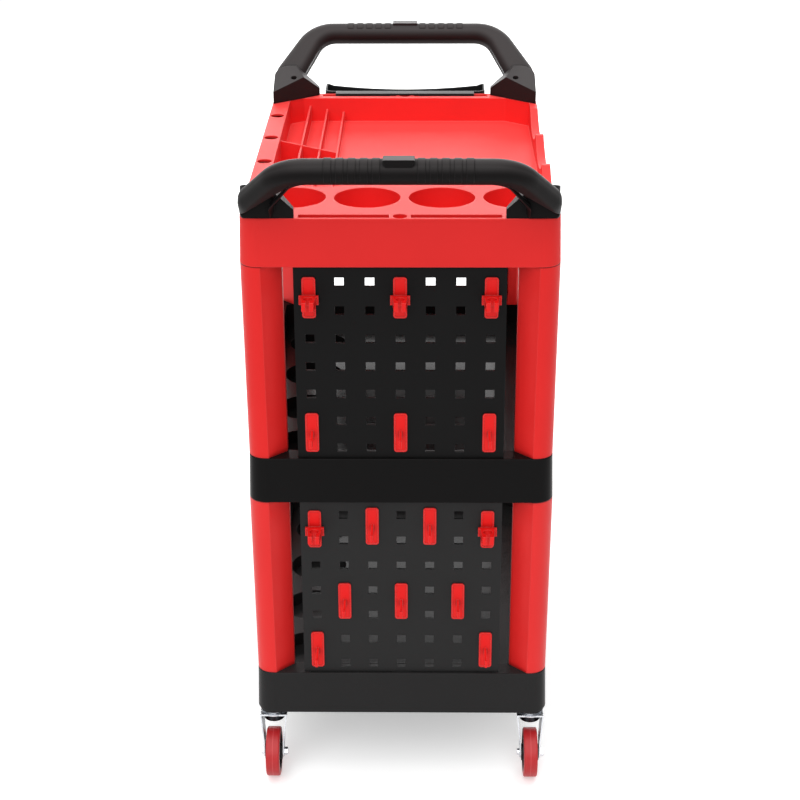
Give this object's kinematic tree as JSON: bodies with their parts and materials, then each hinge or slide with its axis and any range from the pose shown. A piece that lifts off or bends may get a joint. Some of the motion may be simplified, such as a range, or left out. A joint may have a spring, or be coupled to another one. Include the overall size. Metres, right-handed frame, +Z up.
{
  "type": "rolling utility cart",
  "caption": "Three-tier rolling utility cart with a divided top tray, open shelves on corner posts, angled push handles, a pegboard end, a hanging parts bin and swivel casters.",
  "frame": {"origin": "on the floor under the middle of the cart's bounding box", "axes": "+X to the right across the cart, seen from the pegboard end; +Y along the cart from the pegboard end to the bin end; +Z up"},
  "size_m": [0.421, 0.8048, 0.9582],
  "materials": {
    "red_plastic": "satin moulded red",
    "black_plastic": "fine-grained moulded black",
    "handle_plastic": "satin moulded black",
    "board_plastic": "matt moulded black",
    "clip_plastic": "smooth moulded red",
    "bin_plastic": "satin moulded black",
    "screw_steel": "blackened steel",
    "zinc_steel": "bright zinc plating",
    "hub_plastic": "matt moulded black",
    "wheel_rubber": "cast polyurethane, satin"
  },
  "bodies": {
    "cart_body": {"top_tray": "red_plastic", "middle_shelf": "black_plastic", "bottom_shelf": "black_plastic", "upper_post_near_left": "red_plastic", "upper_post_near_right": "red_plastic", "upper_post_far_left": "red_plastic", "upper_post_far_right": "red_plastic", "lower_post_near_left": "red_plastic", "lower_post_near_right": "red_plastic", "lower_post_far_left": "red_plastic", "lower_post_far_right": "red_plastic", "near_handle": "handle_plastic", "far_handle": "handle_plastic", "handle_screws": "screw_steel", "upper_pegboard": "board_plastic", "lower_pegboard": "board_plastic", "upper_tool_clips": "clip_plastic", "lower_tool_clips": "clip_plastic", "upper_peg_hooks": "clip_plastic", "lower_peg_hooks": "clip_plastic", "caster_stem_near_left": "zinc_steel", "swivel_race_near_left": "zinc_steel", "caster_stem_near_right": "zinc_steel", "swivel_race_near_right": "zinc_steel", "caster_stem_far_left": "zinc_steel", "swivel_race_far_left": "zinc_steel", "caster_stem_far_right": "zinc_steel", "swivel_race_far_right": "zinc_steel"},
    "fork_near_left": {"caster_fork_near_left": "zinc_steel", "axle_bolt_near_left": "zinc_steel", "axle_nut_near_left": "zinc_steel", "axle_sleeve_near_left": "zinc_steel"},
    "wheel_near_left": {"wheel_hub_near_left": "hub_plastic", "wheel_tread_near_left": "wheel_rubber"},
    "fork_near_right": {"caster_fork_near_right": "zinc_steel", "axle_bolt_near_right": "zinc_steel", "axle_nut_near_right": "zinc_steel", "axle_sleeve_near_right": "zinc_steel"},
    "wheel_near_right": {"wheel_hub_near_right": "hub_plastic", "wheel_tread_near_right": "wheel_rubber"},
    "fork_far_left": {"caster_fork_far_left": "zinc_steel", "axle_bolt_far_left": "zinc_steel", "axle_nut_far_left": "zinc_steel", "axle_sleeve_far_left": "zinc_steel"},
    "wheel_far_left": {"wheel_hub_far_left": "hub_plastic", "wheel_tread_far_left": "wheel_rubber"},
    "fork_far_right": {"caster_fork_far_right": "zinc_steel", "axle_bolt_far_right": "zinc_steel", "axle_nut_far_right": "zinc_steel", "axle_sleeve_far_right": "zinc_steel"},
    "wheel_far_right": {"wheel_hub_far_right": "hub_plastic", "wheel_tread_far_right": "wheel_rubber"},
    "bin": {"hanging_bin": "bin_plastic"}
  },
  "joints": [
    {"name": "swivel_near_left", "type": "hinge", "parent": "cart_body", "child": "fork_near_left", "pos_m": [-0.188, -0.295, 0.0927], "axis": [0, 0, 1], "continuous": true},
    {"name": "roll_near_left", "type": "hinge", "parent": "fork_near_left", "child": "wheel_near_left", "pos_m": [-0.188, -0.32, 0.036], "axis": [1, 0, 0], "continuous": true},
    {"name": "swivel_near_right", "type": "hinge", "parent": "cart_body", "child": "fork_near_right", "pos_m": [0.188, -0.295, 0.0927], "axis": [0, 0, 1], "continuous": true},
    {"name": "roll_near_right", "type": "hinge", "parent": "fork_near_right", "child": "wheel_near_right", "pos_m": [0.188, -0.32, 0.036], "axis": [1, 0, 0], "continuous": true},
    {"name": "swivel_far_left", "type": "hinge", "parent": "cart_body", "child": "fork_far_left", "pos_m": [-0.188, 0.295, 0.0927], "axis": [0, 0, 1], "continuous": true},
    {"name": "roll_far_left", "type": "hinge", "parent": "fork_far_left", "child": "wheel_far_left", "pos_m": [-0.188, 0.27, 0.036], "axis": [1, 0, 0], "continuous": true},
    {"name": "swivel_far_right", "type": "hinge", "parent": "cart_body", "child": "fork_far_right", "pos_m": [0.188, 0.295, 0.0927], "axis": [0, 0, 1], "continuous": true},
    {"name": "roll_far_right", "type": "hinge", "parent": "fork_far_right", "child": "wheel_far_right", "pos_m": [0.188, 0.27, 0.036], "axis": [1, 0, 0], "continuous": true},
    {"name": "bin_lift", "type": "slide", "parent": "cart_body", "child": "bin", "axis": [0, 0, 1], "range_m": [0, 0.03]}
  ]
}
